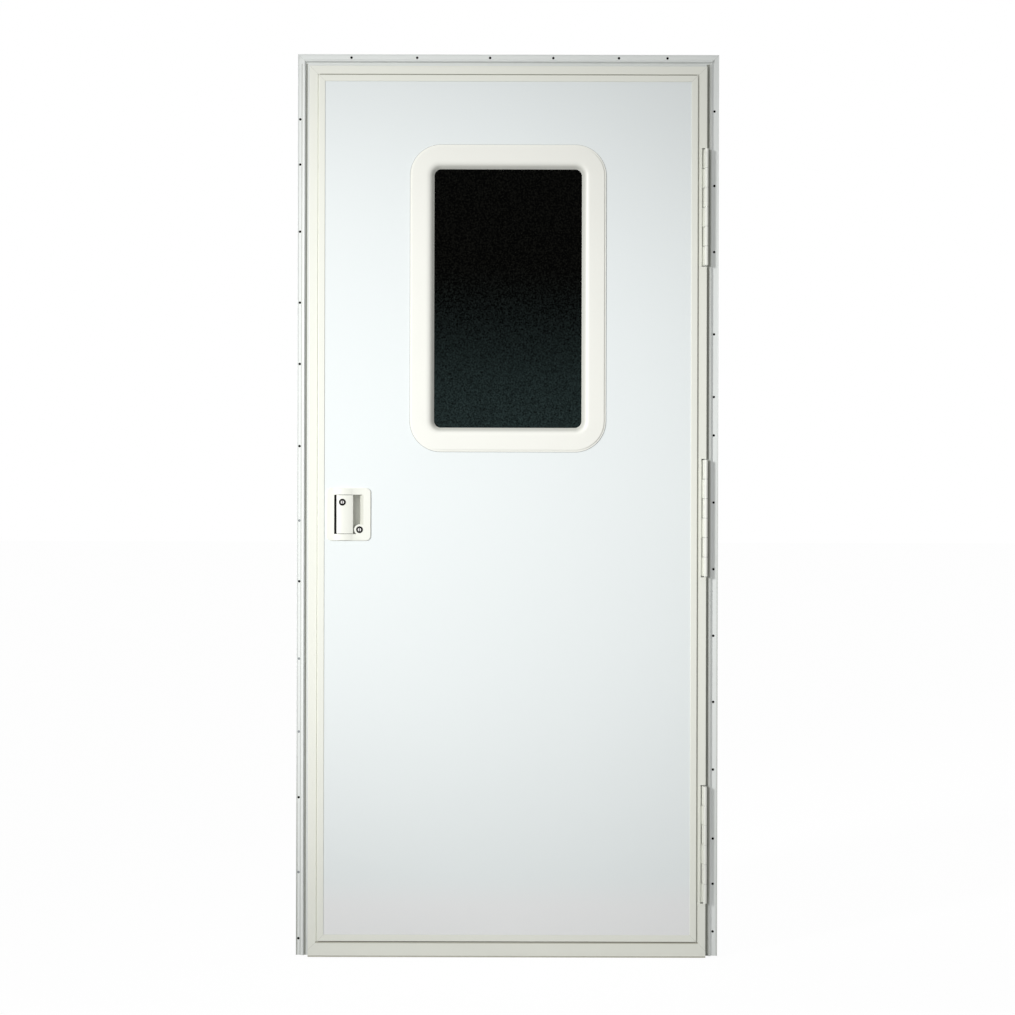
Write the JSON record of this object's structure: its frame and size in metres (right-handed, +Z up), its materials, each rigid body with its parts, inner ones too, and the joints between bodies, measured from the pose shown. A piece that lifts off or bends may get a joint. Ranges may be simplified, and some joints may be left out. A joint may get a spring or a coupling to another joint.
{
  "type": "caravan entry door",
  "caption": "White caravan entry door in an aluminium frame with a screw flange: foam-core leaf, tinted window in a moulded ring, flush paddle lock and exposed barrel hinges.",
  "frame": {"origin": "middle of the bottom edge of the sill flange's back face, which lies on the caravan's wall", "axes": "seen from outside +X is to the right, +Y goes into the caravan and +Z is up"},
  "size_m": [0.866, 0.0646, 1.855],
  "materials": {
    "frame_paint": "satin white paint",
    "leaf_paint": "satin white paint",
    "skin_white": "smooth white sheet",
    "foam": "rigid foam",
    "ring_white": "moulded white",
    "tinted_glass": "dark tint",
    "seal_rubber": "matt black",
    "lock_white": "moulded white",
    "hinge_paint": "satin white paint",
    "pin_steel": "bright steel",
    "key_metal": "dull metal"
  },
  "bodies": {
    "frame": {"jamb_lock_side": "frame_paint", "jamb_hinge_side": "frame_paint", "jamb_head": "frame_paint", "sill_threshold": "frame_paint", "frame_seal": "seal_rubber", "strike_plate": "pin_steel", "hinge_lower_frame_half": "hinge_paint", "hinge_middle_frame_half": "hinge_paint", "hinge_upper_frame_half": "hinge_paint", "hinge_lower_pin": "pin_steel", "hinge_middle_pin": "pin_steel", "hinge_upper_pin": "pin_steel"},
    "door_leaf": {"leaf_lock_stile": "leaf_paint", "leaf_hinge_stile": "leaf_paint", "leaf_top_rail": "leaf_paint", "leaf_bottom_rail": "leaf_paint", "outer_skin": "skin_white", "foam_core": "foam", "inner_skin": "skin_white", "window_outer_ring": "ring_white", "window_glass": "tinted_glass", "window_gasket": "seal_rubber", "window_inner_ring": "ring_white", "lock_bezel": "lock_white", "paddle_pivot_pin": "pin_steel", "latch_bolt": "pin_steel", "deadbolt": "pin_steel", "lock_inner_plate": "lock_white", "inner_release_lever": "lock_white", "inner_thumb_turn": "lock_white", "hinge_lower_leaf_half": "hinge_paint", "hinge_middle_leaf_half": "hinge_paint", "hinge_upper_leaf_half": "hinge_paint"},
    "paddle": {"lock_paddle": "lock_white"},
    "paddle_key": {"paddle_key_plug": "key_metal"},
    "deadbolt_key": {"deadbolt_key_plug": "key_metal"}
  },
  "joints": [
    {"name": "leaf_swing", "type": "hinge", "parent": "frame", "child": "door_leaf", "pos_m": [0.4065, -0.02, 0.9], "axis": [0, 0, 1], "range_deg": [0, 170]},
    {"name": "paddle_pull", "type": "hinge", "parent": "door_leaf", "child": "paddle", "pos_m": [-0.3482, -0.011, 0.906], "axis": [0, 0, -1], "range_deg": [0, 25], "stiffness_Nm_per_rad": 1},
    {"name": "paddle_key_turn", "type": "hinge", "parent": "paddle", "child": "paddle_key", "pos_m": [-0.3385, -0.0185, 0.9309], "axis": [0, 1, 0], "range_deg": [0, 90]},
    {"name": "deadbolt_key_turn", "type": "hinge", "parent": "door_leaf", "child": "deadbolt_key", "pos_m": [-0.3035, -0.015, 0.8746], "axis": [0, 1, 0], "range_deg": [0, 90]}
  ]
}
